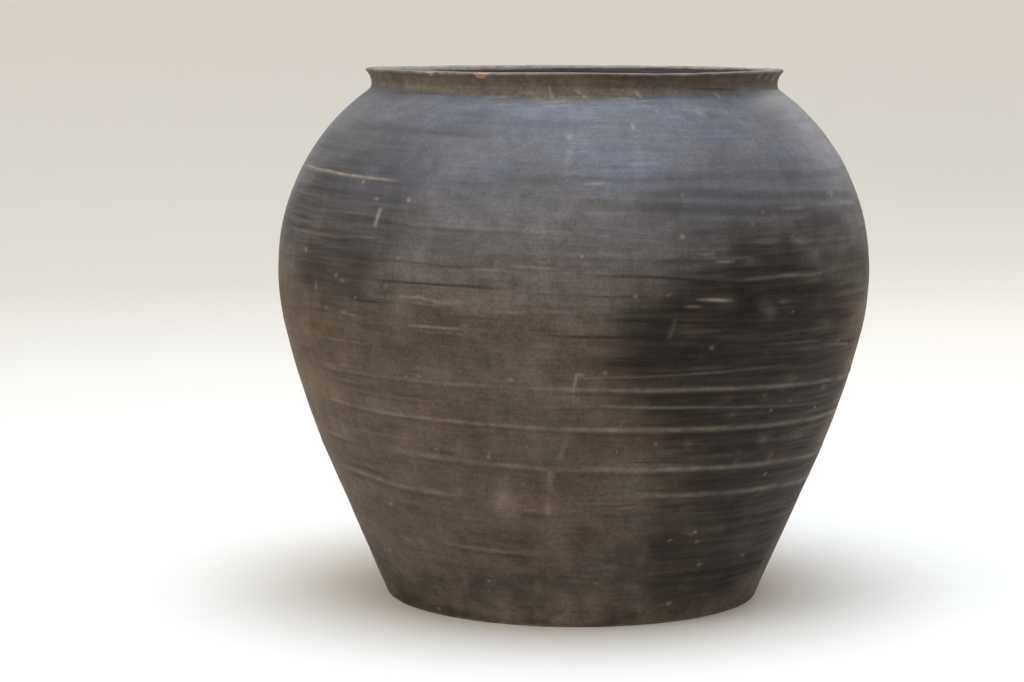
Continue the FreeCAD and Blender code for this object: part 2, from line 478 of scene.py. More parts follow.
def scatter_lines(seed, count, azimuths, heights, lengths, widths, strengths):
    """More lines of the same kind, placed at random over a part of the jar."""
    rng = np.random.default_rng(seed)
    lines = []
    for _ in range(count):
        start = rng.uniform(*azimuths)
        length = rng.uniform(*lengths)
        height = rng.uniform(*heights)
        fall = rng.uniform(-0.02, 0.10) * length
        bend = rng.uniform(-0.02, 0.02) * length
        points = [
            (start, height),
            (start + length / 2.0, height - fall / 2.0 + bend),
            (start + length, height - fall),
        ]
        lines.append((points, rng.uniform(*widths), rng.uniform(*strengths)))
    return lines


def scatter_spots(seed, count, azimuths, heights, sizes, strengths):
    rng = np.random.default_rng(seed)
    spots = []
    for _ in range(count):
        size = rng.uniform(*sizes)
        spots.append((
            rng.uniform(*azimuths),
            rng.uniform(*heights),
            size * rng.uniform(1.0, 2.2),
            size,
            rng.uniform(*strengths),
        ))
    return spots


def turn_to(azimuth, centre):
    """Azimuth counted from a centre in degrees, from -pi to pi."""
    return np.mod(azimuth - math.radians(centre) + math.pi, math.tau) - math.pi


def round_line(azimuth, height, points, half_width):
    """How much of a line that runs round the jar is at each place, from 0 to 1."""
    along = [math.radians(p[0]) for p in points]
    middle = 0.5 * (along[0] + along[-1])
    turn = np.mod(azimuth - middle + math.pi, math.tau) - math.pi + middle
    level = np.interp(turn, along, [p[1] * MM for p in points])
    level = level + LINE_WAVER * WOBBLE(azimuth, level)
    end = min(LINE_TAPER, 0.4 * (along[-1] - along[0]))
    fade = smooth((turn - along[0]) / end) * smooth((along[-1] - turn) / end)
    away = (height - level) / (half_width * MM)
    return fade * np.exp(-away * away)


def up_line(azimuth, height, radius, points, half_width, ragged):
    """The same for a line that runs up the jar."""
    heights = [p[1] * MM for p in points]
    turns = np.interp(height, heights, [math.radians(p[0]) for p in points])
    end = 2.0 * MM
    fade = smooth((height - heights[0]) / end) * smooth((heights[-1] - height) / end)
    fade = fade * (1.0 - ragged * 0.5 * (1.0 + BREAKS(azimuth, height)))
    away = (np.mod(azimuth - turns + math.pi, math.tau) - math.pi) * radius / (half_width * MM)
    return fade * np.exp(-away * away)


def spot(azimuth, height, radius, centre, level, across, up):
    across_share = turn_to(azimuth, centre) * radius / (across * MM)
    up_share = (height - level * MM) / (up * MM)
    return np.exp(-across_share ** 2 - up_share ** 2)


def cloud(azimuth, height, centre, level, across, up):
    across_share = turn_to(azimuth, centre) / math.radians(across)
    up_share = (height - level * MM) / (up * MM)
    ragged = 0.22 * PATCHES(azimuth, height) + 0.10 * BREAKS(azimuth, height)
    return smooth(1.25 - across_share ** 2 - up_share ** 2 + ragged)


class ClayFace:
    """The outer face at a grid of places: its relief out of the wall, and its colour layers."""

    def __init__(self, azimuth, height, radius):
        self.azimuth = azimuth
        self.height = height
        self.radius = radius
        self.relief = self.hand_relief()
        self.layers = {name: np.zeros_like(height) for name in LAYERS}
        self.add_ridges()
        self.add_folds()
        self.add_cuts()
        self.add_drips()
        self.add_spots()
        self.add_lip_chips()
        self.add_clouds()
        edge = np.interp(turn_to(azimuth, 0.0), *COLLAR_TURN)
        self.layers["collar"] = np.clip((height - edge) / COLLAR_FADE + 0.5, 0.0, 1.0)

    def hand_relief(self):
        """The unevenness that hands and a scraper leave all over."""
        azimuth, height = self.azimuth, self.height
        tilted = height + DRIFT * np.sin(azimuth)
        body = smooth((THROAT_HEIGHT - 6.0 * MM - height) / (10.0 * MM))
        relief = WANDER_LIFT * WANDER(azimuth, height) + FACET_LIFT * FACETS(azimuth, tilted) * body
        relief = relief + STREAK_LIFT * STREAKS(azimuth, tilted)
        relief = relief + HAIRLINE_LIFT * HAIRLINES(azimuth, tilted)
        return relief + GRIT_LIFT * GRIT(azimuth, height)

    def rows_near(self, low, high, reach):
        """The rows within reach of a mark, and the places on them. Its limits are in millimetres."""
        level = self.height[:, 0]
        rows = np.nonzero((level > (low - reach) * MM) & (level < (high + reach) * MM))[0]
        return rows, self.azimuth[rows], self.height[rows]

    def line(self, points, half_width, strength, below=0.0):
        levels = [p[1] for p in points]
        reach = MARK_REACH * half_width + below + 1.0
        rows, azimuth, height = self.rows_near(min(levels), max(levels), reach)
        return rows, strength * round_line(azimuth, height + below * MM, points, half_width)

    def spot(self, centre, level, across, up, strength):
        rows, azimuth, height = self.rows_near(level, level, MARK_REACH * up)
        return rows, strength * spot(azimuth, height, self.radius[rows], centre, level, across, up)

    def breaks(self, rows):
        return BREAKS(self.azimuth[rows], self.height[rows])

    def lift(self, rows, amount):
        self.relief[rows] += amount

    def tint(self, layer, rows, amount):
        self.layers[layer][rows] = np.maximum(self.layers[layer][rows], amount)

    def add_ridges(self):
        for points, half_width, strength in RIDGES + MORE_RIDGES:
            rows, ridge = self.line(points, half_width, strength)
            ridge = ridge * (0.72 + 0.28 * self.breaks(rows))
            self.lift(rows, RIDGE_LIFT * ridge)
            # A painted highlight along the ridge's top, over its real lift.
            self.tint("pale", rows, RIDGE_HIGHLIGHT_TINT * ridge)
            # A painted shadow just below the ridge.
            rows, shade = self.line(points, half_width, strength, SHADE_DROP * half_width)
            self.tint("dark", rows, RIDGE_SHADE * shade)

    def add_folds(self):
        for points, half_width, strength in FOLDS:
            rows, fold = self.line(points, half_width, strength)
            self.lift(rows, FOLD_LIFT * fold)
            rows, hollow = self.line(points, half_width, strength, SHADE_DROP * half_width)
            self.lift(rows, -FOLD_LIFT * hollow)
            # A painted shade in the hollow below the fold.
            self.tint("dark", rows, FOLD_SHADE * hollow)

    def add_cuts(self):
        for lines, depth, layer in (
            (CRACKS + MORE_CRACKS, CRACK_DEPTH, "dark"),
            (SCRATCHES, SCRATCH_DEPTH, "pale"),
        ):
            for points, half_width, strength in lines:
                rows, cut = self.line(points, half_width, strength)
                self.lift(rows, -depth * cut)
                self.tint(layer, rows, cut)

    def add_drips(self):
        for points, half_width, strength, ragged in DRIPS:
            rows, azimuth, height = self.rows_near(points[0][1], points[-1][1], 1.0)
            drip = up_line(azimuth, height, self.radius[rows], points, half_width, ragged)
            self.tint("pale", rows, strength * drip)

    def add_spots(self):
        for place in RUBS_AND_HIGHLIGHT + MORE_RUBS:
            rows, pale_spot = self.spot(*place)
            pale_spot = pale_spot * (0.75 + 0.35 * self.breaks(rows))
            self.tint("pale", rows, RUB_AND_HIGHLIGHT_TINT * pale_spot)
        for place in CHIPS + MORE_CHIPS:
            rows, chip = self.spot(*place)
            self.lift(rows, -CHIP_DEPTH * chip)
            self.tint("pale", rows, chip)

    def add_lip_chips(self):
        for centre, half_width, depth in LIP_CHIPS:
            rows, chip = self.spot(centre, HEIGHT / MM - LIP_CHIP_DROP, half_width, depth, 1.0)
            self.lift(rows, -LIP_CHIP_DEPTH * chip)
            self.tint("chip", rows, chip)

    def add_clouds(self):
        smoke_and_shade = self.layers["smoke_and_shade"]
        for centre, level, across, up, strength in CLOUDS:
            shape = cloud(self.azimuth, self.height, centre, level, across, up)
            np.maximum(smoke_and_shade, strength * shape, out=smoke_and_shade)


# The front's left and right, then the sides and the back.
FRONT_LEFT = (-72.0, -4.0)
FRONT_RIGHT = (8.0, 58.0)
REST = (66.0, 262.0)
MORE_RIDGES = (
    scatter_lines(31, 34, REST, (55.0, 330.0), (18.0, 30.0), (0.9, 1.8), (0.35, 0.95))
    + scatter_lines(35, 30, FRONT_RIGHT, (95.0, 300.0), (6.0, 20.0), (0.9, 2.2), (0.10, 0.32))
    + scatter_lines(36, 30, FRONT_LEFT, (60.0, 330.0), (6.0, 20.0), (0.9, 2.0), (0.12, 0.36))
)
MORE_CRACKS = (
    scatter_lines(32, 60, REST, (90.0, 390.0), (8.0, 34.0), (0.8, 1.9), (0.30, 0.90))
    + scatter_lines(37, 60, FRONT_RIGHT, (92.0, 302.0), (4.0, 18.0), (0.8, 2.2), (0.25, 0.75))
    + scatter_lines(38, 34, FRONT_LEFT, (40.0, 340.0), (4.0, 16.0), (0.8, 2.0), (0.15, 0.45))
)
MORE_RUBS = (
    scatter_spots(33, 40, (70.0, 290.0), (10.0, 400.0), (3.0, 12.0), (0.15, 0.50))
    + scatter_spots(39, 40, (8.0, 64.0), (40.0, 310.0), (2.0, 7.0), (0.08, 0.28))
    + scatter_spots(40, 40, (-70.0, 6.0), (8.0, 330.0), (2.0, 8.0), (0.08, 0.28))
)
MORE_CHIPS = (
    scatter_spots(34, 34, (70.0, 290.0), (10.0, 400.0), (1.1, 1.8), (0.5, 1.0))
    + scatter_spots(41, 30, (-66.0, 66.0), (6.0, 340.0), (1.0, 1.3), (0.3, 0.7))
)


# ---------------------------------------------------------------- meshes

# A row of a section is (radius, height, normal out of the clay as two parts, outer share, edge share).
# Outer share is 1 on the outer face and 0 inside the jar; edge share is 1 on a rounded edge.

def face_rows(heights, inset=0.0):
    radius, across, lean = face_point(heights, inset)
    sign = -1.0 if inset else 1.0
    outer = np.full_like(radius, 0.0 if inset else 1.0)
    return np.stack([radius, heights, sign * across, sign * lean, outer, outer * 0.0], 1)


def arc_rows(centre, size, start, end, outer, edge, hollow=False):
    """Rows round a rounded edge, or round a hollow corner, between two directions in radians."""
    angle = np.linspace(start, end, EDGE_STEPS)
    across, lean = np.cos(angle), np.sin(angle)
    sign = -1.0 if hollow else 1.0
    same = np.ones_like(angle)
    return np.stack([
        centre[0] + size * across,
        centre[1] + size * lean,
        sign * across,
        sign * lean,
        same * outer,
        same * edge,
    ], 1)


def level_rows(start, end, height, up, outer_start, outer_end):
    """Rows across a level face, without its two ends."""
    count = max(3, int(round(abs(end - start) / DISC_STEP)) + 2)
    share = np.linspace(0.0, 1.0, count)[1:-1]
    same = np.ones_like(share)
    return np.stack([
        start + (end - start) * share,
        same * height,
        same * 0.0,
        same * up,
        outer_start + (outer_end - outer_start) * share,
        same * 0.0,
    ], 1)


def ghosted(heights):
    """The heights with one more past each end, which gives the end rows the normals of the whole face."""
    return np.concatenate([[2 * heights[0] - heights[1]], heights, [2 * heights[-1] - heights[-2]]])


def course_runs(below, above):
    outer = face_rows(ghosted(even_heights(below[0], above[0], OUTER_STEP)))
    inner = face_rows(ghosted(even_heights(below[1], above[1], INNER_STEP, WALL))[::-1], WALL)
    return [outer, inner]


def base_runs(above):
    def corner(height, inset):
        radius, _, lean = face_point(np.array([height]), inset)
        return (radius[0], height), math.asin(lean[0])

    foot, foot_turn = corner(FOOT_EDGE, FOOT_EDGE)
    cove_height = FLOOR + FLOOR_COVE
    cove, cove_turn = corner(cove_height, WALL + FLOOR_COVE)
    foot_top = foot[1] + FOOT_EDGE * math.sin(foot_turn)
    cove_top = cove[1] + FLOOR_COVE * math.sin(cove_turn)

    outer = np.concatenate([
        level_rows(0.0, foot[0], 0.0, -1.0, 1.0, 1.0),
        arc_rows(foot, FOOT_EDGE, -math.pi / 2, foot_turn, 1.0, 1.0),
        face_rows(ghosted(even_heights(foot_top, above[0], OUTER_STEP))[2:]),
    ])
    inner = np.concatenate([
        face_rows(ghosted(even_heights(cove_top, above[1], INNER_STEP / 2, WALL))[2:][::-1], WALL),
        arc_rows(cove, FLOOR_COVE, cove_turn, -math.pi / 2, 0.0, 0.0, hollow=True),
        level_rows(cove[0], 0.0, FLOOR, 1.0, 0.0, 0.0),
    ])
    return [outer, inner]


def collar_runs(below):
    def corner(edge, inset):
        height = HEIGHT - edge
        radius, _, lean = face_point(np.array([height]), inset)
        return (radius[0], height), math.asin(lean[0])

    outside, outer_turn = corner(LIP_OUTER_EDGE, LIP_OUTER_EDGE)
    inside, inner_turn = corner(LIP_INNER_EDGE, WALL - LIP_INNER_EDGE)
    outer_top = outside[1] + LIP_OUTER_EDGE * math.sin(outer_turn)
    inner_top = inside[1] - LIP_INNER_EDGE * math.sin(inner_turn)
    up = math.pi / 2
    return [np.concatenate([
        face_rows(ghosted(even_heights(below[0], outer_top, OUTER_STEP))[:-2]),
        arc_rows(outside, LIP_OUTER_EDGE, outer_turn, up, 1.0, 1.0),
        level_rows(outside[0], inside[0], HEIGHT, 1.0, 1.0, 0.0),
        arc_rows(inside, LIP_INNER_EDGE, up, math.pi + inner_turn, 0.0, 1.0),
        face_rows(ghosted(even_heights(below[1], inner_top, RIM_INNER_STEP, WALL))[:-2][::-1], WALL),
    ])]


AZIMUTH = np.arange(COLUMNS) * math.tau / COLUMNS
RIM_DUST_DEPTH = 2.9 * MM
RIM_DUST_FADE = 1.2 * MM
# How far the inner face is darkened to black: partly smoke, partly painted shade of the jar's deep inside.
INSIDE_SMOKE_AND_SHADE = 0.72
UNDERSIDE = 3.0 * MM     # below this height the face that looks down stays flat
LIP_BASE = 414.0 * MM
LIP_FADE = 12.0 * MM


def edge_wear(azimuth, height, edge):
    """The pale wear along a rounded edge."""
    return edge * (0.35 + 0.35 * BREAKS(azimuth, height * 0.0) + 0.2 * GRIT(azimuth, height))


def inner_dust(azimuth, height, outer):
    """The pale dust on the inner face, just below the lip. It reaches lowest at the left."""
    depth = RIM_DUST_DEPTH * (1.0 - 0.5 * np.sin(azimuth) + 0.15 * BREAKS(azimuth, height * 0.0))
    return smooth((height - HEIGHT + depth) / RIM_DUST_FADE) * (1.0 - outer)


def side_layers(layers, azimuth, height, outer, edge):
    """The outer face's layers kept to the outer side, with the inner side's own dust, and its darkening,
    which is partly smoke and partly painted shade of the jar's inside.
    """
    dust = inner_dust(azimuth, height, outer)
    worn = np.clip(np.maximum(edge_wear(azimuth, height, edge), dust), 0.0, 1.0)
    mixed = {name: values * outer for name, values in layers.items()}
    mixed["pale"] = np.maximum(mixed["pale"], worn)
    # Painted shade over the inner face, with its smoke, kept off the dust band below the lip.
    mixed["smoke_and_shade"] = mixed["smoke_and_shade"] + INSIDE_SMOKE_AND_SHADE * (1.0 - outer) * (1.0 - dust)
    return mixed


def surface(rows):
    """The points of a run of rows with their relief, and the colour layers there."""
    azimuth = np.broadcast_to(AZIMUTH, (len(rows), COLUMNS))
    radius, height, across, lean, outer, edge = (
        np.broadcast_to(column[:, None], azimuth.shape) for column in rows.T
    )
    face = ClayFace(azimuth, height, radius)
    hand = INSIDE_FINGER_LIFT * FINGERS(azimuth, height) + INSIDE_WANDER_LIFT * WANDER(azimuth, height)
    underside = smooth((UNDERSIDE - height) / UNDERSIDE) * (lean < -0.9)
    relief = (face.relief * outer + hand * (1.0 - outer)) * (1.0 - underside)
    wave = LIP_WAVE(azimuth, height * 0.0) + 0.4 * BREAKS(azimuth, height * 0.0)
    rise = LIP_RISE * wave * smooth((height - LIP_BASE) / LIP_FADE)
    out = radius + relief * across
    points = np.stack([
        out * np.sin(azimuth),
        -out * np.cos(azimuth),
        height + relief * lean + rise,
    ], -1)
    return points, side_layers(face.layers, azimuth, height, outer, edge)


def surface_normals(points):
    up = np.gradient(points, axis=0)
    on = np.roll(points, -1, axis=1) - np.roll(points, 1, axis=1)
    normals = np.cross(on, up)
    return normals / np.maximum(np.linalg.norm(normals, axis=2, keepdims=True), 1e-12)


def strip(first, second):
    """Quads between two rows, given as their first vertex numbers."""
    here = np.arange(COLUMNS)
    after = (here + 1) % COLUMNS
    return np.stack([first + here, first + after, second + after, second + here], 1)


class Shell:
    """A closed ring or dish of clay, gathered run by run."""

    def __init__(self):
        self.points = []
        self.normals = []
        self.layers = {name: [] for name in LAYERS}
        self.quads = []
        self.hidden_quads = []
        self.fans = []
        self.count = 0

    def add_run(self, rows, ghost_start, ghost_end):
        points, layers = surface(rows)
        normals = surface_normals(points)
        keep = slice(1 if ghost_start else 0, -1 if ghost_end else None)
        points = points[keep]
        first = self.count
        self.points.append(points.reshape(-1, 3))
        self.normals.append(normals[keep].reshape(-1, 3))
        for name, values in layers.items():
            self.layers[name].append(values[keep].reshape(-1))
        self.count += points.shape[0] * COLUMNS
        starts = first + np.arange(points.shape[0]) * COLUMNS
        for low, high in zip(starts[:-1], starts[1:]):
            self.quads.append(strip(low, high))
        return starts[0], starts[-1]

    def add_joint(self, end, start):
        self.hidden_quads.append(strip(end, start))

    def add_pole(self, start, height, up):
        """Close the middle of a level face with a fan."""
        self.points.append(np.array([[0.0, 0.0, height]]))
        self.normals.append(np.array([[0.0, 0.0, up]]))
        for values in self.layers.values():
            values.append(np.zeros(1))
        here = start + np.arange(COLUMNS)
        after = start + (np.arange(COLUMNS) + 1) % COLUMNS
        pole = np.full(COLUMNS, self.count)
        ends = [after, here] if up < 0.0 else [here, after]
        self.fans.append(np.stack([pole] + ends, 1))
        self.count += 1

    def build(self, name, material):
        points = np.concatenate(self.points)
        normals = np.concatenate(self.normals)
        shown = np.concatenate(self.quads)
        joints = np.concatenate(self.hidden_quads)
        fans = np.concatenate(self.fans) if self.fans else np.zeros((0, 3), int)
        corners = np.concatenate([shown.ravel(), fans.ravel(), joints.ravel()])
        sizes = [4] * len(shown) + [3] * len(fans) + [4] * len(joints)

        mesh = bpy.data.meshes.new(name)
        mesh.vertices.add(len(points))
        mesh.vertices.foreach_set("co", points.ravel())
        mesh.loops.add(len(corners))
        mesh.loops.foreach_set("vertex_index", corners)
        mesh.polygons.add(len(sizes))
        mesh.polygons.foreach_set("loop_start", np.concatenate([[0], np.cumsum(sizes)[:-1]]))
        mesh.update(calc_edges=True)
        mesh.validate()
        for layer, values in self.layers.items():
            attribute = mesh.attributes.new(layer, "FLOAT", "POINT")
            attribute.data.foreach_set("value", np.concatenate(values).astype(np.float32))

        corner_normals = normals[corners]
        corner_normals[len(corners) - joints.size:] = 0.0
        mesh.normals_split_custom_set(corner_normals.astype(np.float32))
        mesh.materials.append(material)
        piece = bpy.data.objects.new(name, mesh)
        bpy.context.scene.collection.objects.link(piece)
        return piece


def joint_heights():
    """Each joint's height on the outer and on the inner face."""
    joints = []
    for lower, upper in zip(NODES[:-1], NODES[1:]):
        joints.append((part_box(lower)[1].z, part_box(upper)[0].z))
    return joints


def make_pieces(clay):
    joints = joint_heights()
    for number, node in enumerate(NODES):
        shell = Shell()
        if node == "base_slab":
            outer, inner = base_runs(joints[0])
            start, end = shell.add_run(outer, False, True)
            shell.add_pole(start, 0.0, -1.0)
            inner_start, inner_end = shell.add_run(inner, True, False)
            shell.add_joint(end, inner_start)
            shell.add_pole(inner_end, FLOOR, 1.0)
        elif node == "rim_collar":
            start, end = shell.add_run(collar_runs(joints[-1])[0], True, True)
            shell.add_joint(end, start)
        else:
            outer, inner = course_runs(joints[number - 1], joints[number])
            start, end = shell.add_run(outer, True, True)
            inner_start, inner_end = shell.add_run(inner, True, True)
            shell.add_joint(end, inner_start)
            shell.add_joint(inner_end, start)
        piece = shell.build("clay_" + node, clay)
        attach(piece, "root")
        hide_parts(node)


# ---------------------------------------------------------------- the clay's material

class Tree:
    """Short names for the shader nodes that the clay uses."""

    def __init__(self, material):
        material.use_nodes = True
        self.tree = material.node_tree
        self.tree.nodes.clear()

    def node(self, kind, **settings):
        made = self.tree.nodes.new(kind)
        for name, value in settings.items():
            setattr(made, name, value)
        return made

    def feed(self, socket, value):
        if isinstance(value, bpy.types.NodeSocket):
            self.tree.links.new(value, socket)
        else:
            socket.default_value = value

    def math(self, operation, *values, clamp=False):
        made = self.node("ShaderNodeMath", operation=operation, use_clamp=clamp)
        for socket, value in zip(made.inputs, values):
            self.feed(socket, value)
        return made.outputs[0]

    def noise(self, place, detail, roughness):
        made = self.node("ShaderNodeTexNoise")
        self.feed(made.inputs["Vector"], place)
        self.feed(made.inputs["Scale"], 1.0)
        self.feed(made.inputs["Detail"], detail)
        self.feed(made.inputs["Roughness"], roughness)
        return made.outputs["Fac"]

    def span(self, value, low, high, to_low=0.0, to_high=1.0):
        made = self.node("ShaderNodeMapRange", interpolation_type="SMOOTHSTEP")
        for name, number in (
            ("Value", value),
            ("From Min", low),
            ("From Max", high),
            ("To Min", to_low),
            ("To Max", to_high),
        ):
            self.feed(made.inputs[name], number)
        return made.outputs["Result"]

    def blend(self, share, first, second, mode="MIX"):
        made = self.node("ShaderNodeMix", data_type="RGBA", blend_type=mode)
        self.feed(made.inputs["Factor"], share)
        self.feed(made.inputs[6], first)
        self.feed(made.inputs[7], second)
        return made.outputs[2]

    def layer(self, name):
        return self.node("ShaderNodeAttribute", attribute_name=name).outputs["Fac"]


# Colours of the clay, linear.
BODY_BROWN = (0.088, 0.062, 0.042, 1.0)
BODY_DRAB = (0.080, 0.063, 0.050, 1.0)
BODY_RUST = (0.096, 0.061, 0.031, 1.0)
BODY_GREY = (0.096, 0.086, 0.082, 1.0)
# The slate's blue tint is partly the clay's own, partly a painted sheen of the sky on the shoulder.
SLATE_BLUE = (0.102, 0.104, 0.121, 1.0)
SLATE_DUN = (0.110, 0.106, 0.112, 1.0)
FOOT_GREY = (0.084, 0.066, 0.053, 1.0)
COLLAR_BROWN = (0.094, 0.071, 0.054, 1.0)
COLLAR_TAN = (0.128, 0.104, 0.088, 1.0)
# Black for the smoke clouds, and for the painted shade inside the jar.
SMOKE_AND_SHADE_BLACK = (0.009, 0.006, 0.004, 1.0)
# Black for the cracks, and for the painted shade below ridges and folds.
CRACK_AND_SHADE_BLACK = (0.009, 0.007, 0.006, 1.0)
# Pale for rubs, scratches, drips, chips and worn edges, and for the painted highlights on ridges and the
# right shoulder.
RUB_AND_HIGHLIGHT_PALE = (0.285, 0.234, 0.188, 1.0)
SPECK_PALE = (0.300, 0.270, 0.230, 1.0)
CORE_ORANGE = (0.400, 0.220, 0.130, 1.0)

# The heights over which one colour of the clay gives way to the next.
FOOT_HEIGHTS = (125.0 * MM, 65.0 * MM)
GREY_HEIGHTS = (225.0 * MM, 310.0 * MM)
SLATE_HEIGHTS = (290.0 * MM, 360.0 * MM)
CALM_HEIGHTS = (230.0 * MM, 360.0 * MM)
TAN_HEIGHTS = (413.5 * MM, 419.0 * MM)
RUST_REACH = (140.0 * MM, 215.0 * MM)      # how far out to each side the brown body turns rusty

# The clay's noises: cells per metre round the jar and up it, detail, roughness.
NOISES = {
    "bands": (4.0, 34.0, 3.0, 0.55),
    "streaks": (11.0, 280.0, 4.0, 0.65),
    "hairs": (34.0, 900.0, 2.0, 0.60),
    "blotches": (22.0, 36.0, 6.0, 0.62),
    "runs": (75.0, 11.0, 3.0, 0.60),
    "rubs": (90.0, 110.0, 6.0, 0.72),
    "grain": (430.0, 470.0, 3.0, 0.75),
    "hues": (15.0, 28.0, 4.0, 0.60),
}
# How much each noise lightens and darkens the clay, and how much it lifts it as a share of BUMP_DEPTH.
SWINGS = {"bands": 0.12, "hairs": 0.08, "blotches": 0.16, "runs": 0.10, "grain": 0.18, "rubs": 0.17}
LIFTS = {"streaks": 0.35, "hairs": 0.16, "grain": 0.16, "rubs": 0.30}
STREAK_SWING = 0.17
STREAK_TILT = DRIFT / BELLY_RADIUS
BUMP_DEPTH = 0.5 * MM
BUMP_STRENGTH = 0.6
BODY_ROUGHNESS = 0.62
SLATE_ROUGHNESS = 0.46
SPECULAR_LEVEL = 0.16


class Clay(Tree):
    """The clay's shader nodes, with its noises and the shares that its colour, gloss and bump use."""

    def __init__(self, material):
        super().__init__(material)
        self.place = self.node("ShaderNodeTexCoord").outputs["Object"]
        split = self.node("ShaderNodeSeparateXYZ")
        self.feed(split.inputs[0], self.place)
        self.x, self.y, self.z = split.outputs
        self.noises = {name: self.stretched_noise(*sizes) for name, sizes in NOISES.items()}

        level = self.ragged("blotches", 70.0 * MM, self.z)
        self.grey = self.span(level, *GREY_HEIGHTS)
        self.slate = self.span(level, *SLATE_HEIGHTS)
        low = self.math("MULTIPLY_ADD", self.noises["blotches"], 90.0 * MM, self.z)
        self.foot = self.span(low, *FOOT_HEIGHTS)
        self.collar = self.span(self.ragged("rubs", 0.9, self.layer("collar")), 0.36, 0.64)
        self.tan = self.span(self.ragged("blotches", 10.0 * MM, self.z), *TAN_HEIGHTS)
        calm = self.span(level, *CALM_HEIGHTS, 1.0, 0.64)
        self.unevenness = self.math("MULTIPLY_ADD", self.collar, 0.4, calm)
        self.pale = self.product(
            self.layer("pale"),
            self.noise_span("rubs", 0.36, 0.58, 0.50, 1.0),
            self.noise_span("grain", 0.35, 0.60, 0.80, 1.0),
        )

    def stretched_noise(self, around, up, detail, roughness):
        tilted = self.math("MULTIPLY_ADD", self.x, STREAK_TILT, self.z)
        joined = self.node("ShaderNodeCombineXYZ")
        for socket, value, scale in zip(joined.inputs, (self.x, self.y, tilted), (around, around, up)):
            self.feed(socket, self.math("MULTIPLY", value, scale))
        return self.noise(joined.outputs[0], detail, roughness)

    def noise_span(self, name, low, high, to_low=0.0, to_high=1.0):
        return self.span(self.noises[name], low, high, to_low, to_high)

    def ragged(self, name, amount, value):
        """A value made uneven by a noise."""
        return self.math("MULTIPLY_ADD", self.math("SUBTRACT", self.noises[name], 0.5), amount, value)

    def product(self, first, *others):
        for other in others:
            first = self.math("MULTIPLY", first, other)
        return first


def ground_colour(t):
    """Brown foot and belly, grey then slate shoulder whose blue is partly a painted sky sheen, brown
    collar, and the soot over them, with painted shade inside the jar.
    """
    colour = t.blend(t.noise_span("hues", 0.38, 0.62), BODY_BROWN, BODY_DRAB)
    colour = t.blend(t.span(t.math("ABSOLUTE", t.x), *RUST_REACH), colour, BODY_RUST)
    colour = t.blend(t.grey, colour, BODY_GREY)
    # The slate's blue: partly a painted sky sheen.
    slate = t.blend(t.noise_span("hues", 0.36, 0.64), SLATE_DUN, SLATE_BLUE)
    colour = t.blend(t.slate, colour, slate)
    colour = t.blend(t.foot, colour, FOOT_GREY)
    colour = t.blend(t.collar, colour, t.blend(t.tan, COLLAR_TAN, COLLAR_BROWN))
    smoke_and_shade = t.layer("smoke_and_shade")
    streaky = t.product(t.math("SUBTRACT", 1.0, smoke_and_shade), smoke_and_shade, 3.6)
    soot_and_shade = t.product(
        t.math("MAXIMUM", t.ragged("streaks", streaky, smoke_and_shade), 0.0),
        t.noise_span("streaks", 0.34, 0.58, 0.76, 1.0),
        t.noise_span("rubs", 0.38, 0.58, 0.86, 1.0),
    )
    return t.blend(soot_and_shade, colour, SMOKE_AND_SHADE_BLACK)


def clay_tone(t):
    """How many times lighter the clay is than its ground colour."""
    streak = t.noise_span("streaks", 0.32, 0.68, -STREAK_SWING, STREAK_SWING)
    tone = t.math("MULTIPLY_ADD", streak, t.noise_span("hues", 0.36, 0.64, 0.35, 1.0), 1.0)
    for name, swing in SWINGS.items():
        tone = t.product(tone, t.noise_span(name, 0.3, 0.7, 1.0 - swing, 1.0 + swing))
    mottle = t.noise_span("blotches", 0.35, 0.65, -0.18, 0.24)
    tone = t.product(tone, t.math("MULTIPLY_ADD", t.foot, mottle, 1.0))
    return t.math("MULTIPLY_ADD", t.math("SUBTRACT", tone, 1.0), t.unevenness, 1.0)


def toned(t, colour, tone):
    grey = t.node("ShaderNodeCombineColor")
    for socket in grey.inputs[:3]:
        t.feed(socket, tone)
    return t.blend(1.0, colour, grey.outputs[0], "MULTIPLY")


def specks(t):
    """Small pale grains here and there, at most one in each cell of a cell pattern."""
    cells = t.node("ShaderNodeTexVoronoi")
    t.feed(cells.inputs["Vector"], t.place)
    t.feed(cells.inputs["Scale"], 55.0)
    chance = t.node("ShaderNodeSeparateColor")
    t.feed(chance.inputs[0], cells.outputs["Color"])
    reach = t.span(chance.outputs[0], 0.55, 1.0, 0.0, 0.055)
    grains = t.math("GREATER_THAN", t.math("SUBTRACT", reach, cells.outputs["Distance"]), 0.0)
    return t.product(grains, t.span(chance.outputs[1], 0.0, 1.0, 0.15, 0.65))


def marked(t, colour):
    """The colour with its cracks and the painted shade below ridges and folds, its pale rubs and painted
    highlights, grains and chips to the core.
    """
    # The dark layer: the cracks, and the painted shade below ridges and folds.
    cracks_and_shade = t.product(t.layer("dark"), t.noise_span("rubs", 0.35, 0.55, 0.55, 1.0), 0.85)
    colour = t.blend(cracks_and_shade, colour, CRACK_AND_SHADE_BLACK)
    # Pale marks, with the painted highlights on ridges and on the right shoulder.
    colour = t.blend(t.math("MULTIPLY", t.pale, 0.95, clamp=True), colour, RUB_AND_HIGHLIGHT_PALE)
    colour = t.blend(specks(t), colour, SPECK_PALE)
    chip_edge = t.ragged("rubs", 0.8, t.ragged("grain", 1.3, t.layer("chip")))
    chips = t.product(t.span(chip_edge, 0.36, 0.56), t.noise_span("rubs", 0.35, 0.60, 0.65, 1.0))
    return t.blend(chips, colour, CORE_ORANGE)


